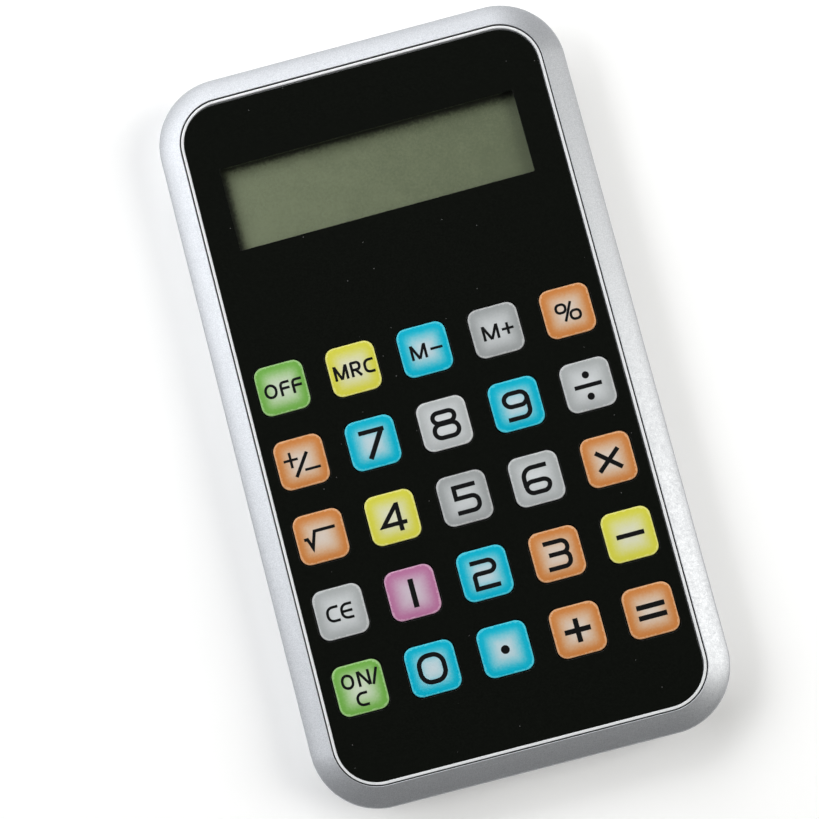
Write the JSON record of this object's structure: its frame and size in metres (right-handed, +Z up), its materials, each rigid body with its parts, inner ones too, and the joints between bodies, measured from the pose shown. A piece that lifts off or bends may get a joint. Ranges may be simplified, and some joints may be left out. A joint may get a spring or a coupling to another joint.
{
  "type": "desk calculator",
  "caption": "Slim rounded calculator with a sloped silver bezel, glossy black face, LCD window and a grid of flush coloured square keys that press down.",
  "frame": {"origin": "centre of the bounding box at the plane the rubber feet rest on", "axes": "+Z up out of the face, +Y towards the display end, +X to the user's right"},
  "size_m": [0.0668, 0.1188, 0.0095],
  "materials": {
    "case_silver": "satin silver paint on moulded plastic",
    "panel_black": "back-printed black under a gloss surface",
    "window_clear": "clear moulded acrylic",
    "key_green": "satin printed cap",
    "key_yellow": "satin printed cap",
    "key_blue": "satin printed cap",
    "key_grey": "satin printed cap",
    "key_orange": "satin printed cap",
    "key_pink": "satin printed cap",
    "mat_silicone": "moulded silicone",
    "board_green": "solder mask on glass-fibre board",
    "lcd_glass": "polariser film on glass",
    "lcd_grey": "reflector film",
    "holder_black": "moulded black plastic",
    "rubber_dark": "matt rubber",
    "epoxy_black": "potted epoxy",
    "cell_steel": "nickel-plated steel can",
    "contact_metal": "plated spring strip",
    "rear_silver": "fine-textured silver moulded plastic",
    "screw_steel": "zinc-plated steel"
  },
  "bodies": {
    "case": {"front_housing": "case_silver", "front_panel": "panel_black", "display_window": "window_clear", "keypad_mat": "mat_silicone", "circuit_board": "board_green", "lcd_glass": "lcd_glass", "lcd_reflector": "lcd_grey", "lcd_holder": "holder_black", "zebra_strip": "rubber_dark", "chip_blob": "epoxy_black", "button_cell": "cell_steel", "contact_negative": "contact_metal", "contact_positive": "contact_metal", "rear_shell": "rear_silver", "case_screw_1": "screw_steel", "foot_1": "rubber_dark", "board_screw_1": "screw_steel", "case_screw_2": "screw_steel", "foot_2": "rubber_dark", "board_screw_2": "screw_steel", "case_screw_3": "screw_steel", "foot_3": "rubber_dark", "board_screw_3": "screw_steel", "case_screw_4": "screw_steel", "foot_4": "rubber_dark", "board_screw_4": "screw_steel"},
    "key_off": {"key_off": "key_green"},
    "key_mrc": {"key_mrc": "key_yellow"},
    "key_m_minus": {"key_m_minus": "key_blue"},
    "key_m_plus": {"key_m_plus": "key_grey"},
    "key_percent": {"key_percent": "key_orange"},
    "key_plus_minus": {"key_plus_minus": "key_orange"},
    "key_7": {"key_7": "key_blue"},
    "key_8": {"key_8": "key_grey"},
    "key_9": {"key_9": "key_blue"},
    "key_divide": {"key_divide": "key_grey"},
    "key_root": {"key_root": "key_orange"},
    "key_4": {"key_4": "key_yellow"},
    "key_5": {"key_5": "key_grey"},
    "key_6": {"key_6": "key_grey"},
    "key_multiply": {"key_multiply": "key_orange"},
    "key_ce": {"key_ce": "key_grey"},
    "key_1": {"key_1": "key_pink"},
    "key_2": {"key_2": "key_blue"},
    "key_3": {"key_3": "key_orange"},
    "key_minus": {"key_minus": "key_yellow"},
    "key_on_c": {"key_on_c": "key_green"},
    "key_0": {"key_0": "key_blue"},
    "key_point": {"key_point": "key_blue"},
    "key_plus": {"key_plus": "key_orange"},
    "key_equals": {"key_equals": "key_orange"},
    "door": {"battery_door": "rear_silver"}
  },
  "joints": [
    {"name": "press_off", "type": "slide", "parent": "case", "child": "key_off", "axis": [0, 0, -1], "range_m": [0, 0.0006], "stiffness_N_per_m": 800, "deforming": ["keypad_mat"]},
    {"name": "press_mrc", "type": "slide", "parent": "case", "child": "key_mrc", "axis": [0, 0, -1], "range_m": [0, 0.0006], "stiffness_N_per_m": 800, "deforming": ["keypad_mat"]},
    {"name": "press_m_minus", "type": "slide", "parent": "case", "child": "key_m_minus", "axis": [0, 0, -1], "range_m": [0, 0.0006], "stiffness_N_per_m": 800, "deforming": ["keypad_mat"]},
    {"name": "press_m_plus", "type": "slide", "parent": "case", "child": "key_m_plus", "axis": [0, 0, -1], "range_m": [0, 0.0006], "stiffness_N_per_m": 800, "deforming": ["keypad_mat"]},
    {"name": "press_percent", "type": "slide", "parent": "case", "child": "key_percent", "axis": [0, 0, -1], "range_m": [0, 0.0006], "stiffness_N_per_m": 800, "deforming": ["keypad_mat"]},
    {"name": "press_plus_minus", "type": "slide", "parent": "case", "child": "key_plus_minus", "axis": [0, 0, -1], "range_m": [0, 0.0006], "stiffness_N_per_m": 800, "deforming": ["keypad_mat"]},
    {"name": "press_7", "type": "slide", "parent": "case", "child": "key_7", "axis": [0, 0, -1], "range_m": [0, 0.0006], "stiffness_N_per_m": 800, "deforming": ["keypad_mat"]},
    {"name": "press_8", "type": "slide", "parent": "case", "child": "key_8", "axis": [0, 0, -1], "range_m": [0, 0.0006], "stiffness_N_per_m": 800, "deforming": ["keypad_mat"]},
    {"name": "press_9", "type": "slide", "parent": "case", "child": "key_9", "axis": [0, 0, -1], "range_m": [0, 0.0006], "stiffness_N_per_m": 800, "deforming": ["keypad_mat"]},
    {"name": "press_divide", "type": "slide", "parent": "case", "child": "key_divide", "axis": [0, 0, -1], "range_m": [0, 0.0006], "stiffness_N_per_m": 800, "deforming": ["keypad_mat"]},
    {"name": "press_root", "type": "slide", "parent": "case", "child": "key_root", "axis": [0, 0, -1], "range_m": [0, 0.0006], "stiffness_N_per_m": 800, "deforming": ["keypad_mat"]},
    {"name": "press_4", "type": "slide", "parent": "case", "child": "key_4", "axis": [0, 0, -1], "range_m": [0, 0.0006], "stiffness_N_per_m": 800, "deforming": ["keypad_mat"]},
    {"name": "press_5", "type": "slide", "parent": "case", "child": "key_5", "axis": [0, 0, -1], "range_m": [0, 0.0006], "stiffness_N_per_m": 800, "deforming": ["keypad_mat"]},
    {"name": "press_6", "type": "slide", "parent": "case", "child": "key_6", "axis": [0, 0, -1], "range_m": [0, 0.0006], "stiffness_N_per_m": 800, "deforming": ["keypad_mat"]},
    {"name": "press_multiply", "type": "slide", "parent": "case", "child": "key_multiply", "axis": [0, 0, -1], "range_m": [0, 0.0006], "stiffness_N_per_m": 800, "deforming": ["keypad_mat"]},
    {"name": "press_ce", "type": "slide", "parent": "case", "child": "key_ce", "axis": [0, 0, -1], "range_m": [0, 0.0006], "stiffness_N_per_m": 800, "deforming": ["keypad_mat"]},
    {"name": "press_1", "type": "slide", "parent": "case", "child": "key_1", "axis": [0, 0, -1], "range_m": [0, 0.0006], "stiffness_N_per_m": 800, "deforming": ["keypad_mat"]},
    {"name": "press_2", "type": "slide", "parent": "case", "child": "key_2", "axis": [0, 0, -1], "range_m": [0, 0.0006], "stiffness_N_per_m": 800, "deforming": ["keypad_mat"]},
    {"name": "press_3", "type": "slide", "parent": "case", "child": "key_3", "axis": [0, 0, -1], "range_m": [0, 0.0006], "stiffness_N_per_m": 800, "deforming": ["keypad_mat"]},
    {"name": "press_minus", "type": "slide", "parent": "case", "child": "key_minus", "axis": [0, 0, -1], "range_m": [0, 0.0006], "stiffness_N_per_m": 800, "deforming": ["keypad_mat"]},
    {"name": "press_on_c", "type": "slide", "parent": "case", "child": "key_on_c", "axis": [0, 0, -1], "range_m": [0, 0.0006], "stiffness_N_per_m": 800, "deforming": ["keypad_mat"]},
    {"name": "press_0", "type": "slide", "parent": "case", "child": "key_0", "axis": [0, 0, -1], "range_m": [0, 0.0006], "stiffness_N_per_m": 800, "deforming": ["keypad_mat"]},
    {"name": "press_point", "type": "slide", "parent": "case", "child": "key_point", "axis": [0, 0, -1], "range_m": [0, 0.0006], "stiffness_N_per_m": 800, "deforming": ["keypad_mat"]},
    {"name": "press_plus", "type": "slide", "parent": "case", "child": "key_plus", "axis": [0, 0, -1], "range_m": [0, 0.0006], "stiffness_N_per_m": 800, "deforming": ["keypad_mat"]},
    {"name": "press_equals", "type": "slide", "parent": "case", "child": "key_equals", "axis": [0, 0, -1], "range_m": [0, 0.0006], "stiffness_N_per_m": 800, "deforming": ["keypad_mat"]},
    {"name": "door_swing", "type": "hinge", "parent": "case", "child": "door", "pos_m": [0.016, 0.0285, 0.0005], "axis": [1, 0, 0], "range_deg": [0, 75]}
  ]
}
